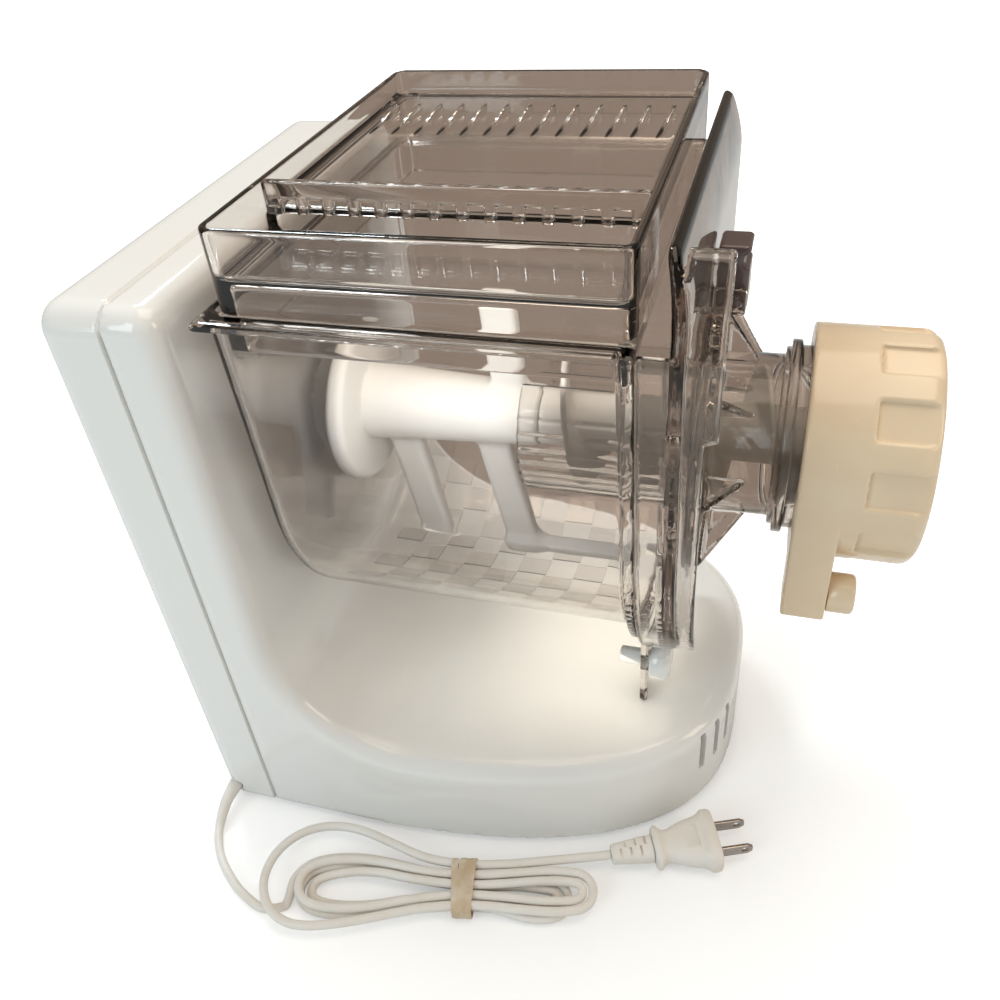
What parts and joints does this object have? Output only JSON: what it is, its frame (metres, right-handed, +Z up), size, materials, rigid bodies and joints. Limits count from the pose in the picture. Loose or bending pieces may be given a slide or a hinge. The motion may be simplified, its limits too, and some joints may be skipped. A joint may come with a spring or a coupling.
{
  "type": "electric pasta maker",
  "caption": "White electric pasta maker: motor base with a tall column, clear mixing bowl with lid, and an extruder tube with a ring nut and lever.",
  "frame": {"origin": "on the floor under the middle of the machine, measured without the cord", "axes": "+X along the drive shaft toward the ring nut, +Y to the side away from the cord, +Z up"},
  "size_m": [0.3026, 0.2653, 0.2946],
  "materials": {
    "white_plastic": "gloss",
    "cream_plastic": "satin",
    "smoky_clear_plastic": "clear gloss",
    "paddle_plastic": "satin",
    "dark_smoky_plastic": "gloss",
    "rubber": "matte",
    "steel": "bare",
    "nickel": "plated",
    "bearing_brass": "bare",
    "gear_nylon": "satin",
    "cord_skin": "satin",
    "tie_paper": "matte"
  },
  "bodies": {
    "housing": {"base_housing": "white_plastic", "rear_cover": "white_plastic", "bottom_plate": "white_plastic", "switch_frame": "dark_smoky_plastic", "interlock_switch": "dark_smoky_plastic", "gear_plate": "steel", "axle_first": "steel", "axle_second": "steel", "motor_stator": "steel", "motor_bracket_front": "steel", "motor_bracket_rear": "steel", "shaft_bush": "bearing_brass", "motor_saddle": "gear_nylon", "cord_gland": "cord_skin", "cord_lead": "cord_skin", "cord_hank": "cord_skin", "cord_tail": "cord_skin", "plug_relief": "cord_skin", "plug_body": "cord_skin", "plug_blade_1": "nickel", "plug_blade_2": "nickel", "hank_tie": "tie_paper", "foot_1": "rubber", "plate_screw_1": "steel", "rear_screw_1": "steel", "foot_2": "rubber", "plate_screw_2": "steel", "rear_screw_2": "steel", "foot_3": "rubber", "plate_screw_3": "steel", "rear_screw_3": "steel", "foot_4": "rubber", "plate_screw_4": "steel", "rear_screw_4": "steel"},
    "rotor": {"motor_rotor": "steel", "motor_fan": "gear_nylon"},
    "first": {"gear_first": "gear_nylon"},
    "second": {"gear_second": "gear_nylon"},
    "output": {"output_gear": "gear_nylon", "drive_shaft": "steel"},
    "mixer": {"mixer": "paddle_plastic", "auger": "paddle_plastic"},
    "bowl": {"bowl": "smoky_clear_plastic", "bowl_seal": "rubber"},
    "lid": {"lid": "smoky_clear_plastic"},
    "front": {"front_panel": "smoky_clear_plastic", "auger_sleeve": "smoky_clear_plastic", "die": "paddle_plastic"},
    "nut": {"ring_nut": "cream_plastic", "lever_peg": "cream_plastic"},
    "latch": {"front_latch": "dark_smoky_plastic"},
    "knob_near": {"lock_knob_near": "white_plastic"},
    "knob_far": {"lock_knob_far": "white_plastic"},
    "rocker": {"switch_rocker": "white_plastic"},
    "plunger": {"interlock_plunger": "paddle_plastic"}
  },
  "joints": [
    {"name": "output_spin", "type": "hinge", "parent": "housing", "child": "output", "pos_m": [-0.1, 0, 0.179], "axis": [1, 0, 0], "continuous": true},
    {"name": "second_spin", "type": "hinge", "parent": "housing", "child": "second", "pos_m": [-0.12, 0, 0.1165], "axis": [1, 0, 0], "continuous": true},
    {"name": "first_spin", "type": "hinge", "parent": "housing", "child": "first", "pos_m": [-0.113, 0, 0.071], "axis": [1, 0, 0], "continuous": true},
    {"name": "rotor_spin", "type": "hinge", "parent": "housing", "child": "rotor", "pos_m": [-0.05, 0, 0.0335], "axis": [1, 0, 0], "continuous": true},
    {"name": "bowl_pull", "type": "slide", "parent": "housing", "child": "bowl", "axis": [1, 0, 0], "range_m": [0, 0.02]},
    {"name": "mixer_spin", "type": "hinge", "parent": "bowl", "child": "mixer", "pos_m": [-0.05, 0, 0.179], "axis": [1, 0, 0], "continuous": true},
    {"name": "lid_lift", "type": "slide", "parent": "bowl", "child": "lid", "axis": [0, 0, 1], "range_m": [0, 0.03]},
    {"name": "panel_pull", "type": "slide", "parent": "bowl", "child": "front", "axis": [1, 0, 0], "range_m": [0, 0.03]},
    {"name": "nut_turn", "type": "hinge", "parent": "front", "child": "nut", "pos_m": [0.1056, 0, 0.179], "axis": [1, 0, 0], "range_deg": [0, 55]},
    {"name": "latch_swing", "type": "hinge", "parent": "front", "child": "latch", "pos_m": [0.07615, 0, 0.241], "axis": [0, 1, 0], "range_deg": [0, 35]},
    {"name": "knob_near_pull", "type": "slide", "parent": "bowl", "child": "knob_near", "axis": [1, 0, 0], "range_m": [0, 0.008]},
    {"name": "knob_far_pull", "type": "slide", "parent": "bowl", "child": "knob_far", "axis": [1, 0, 0], "range_m": [0, 0.008]},
    {"name": "rocker_tilt", "type": "hinge", "parent": "housing", "child": "rocker", "pos_m": [-0.14446, -0.03, 0.2461], "axis": [0, 1, 0], "range_deg": [-12, 12]},
    {"name": "plunger_press", "type": "slide", "parent": "housing", "child": "plunger", "axis": [-1, 0, 0], "range_m": [0, 0.003], "stiffness_N_per_m": 200}
  ],
  "couplings": [
    {"joint": "second_spin", "follows": "output_spin", "ratio": -2.5714},
    {"joint": "first_spin", "follows": "output_spin", "ratio": 8.5714},
    {"joint": "rotor_spin", "follows": "output_spin", "ratio": -42.857},
    {"joint": "mixer_spin", "follows": "output_spin", "ratio": 1}
  ]
}
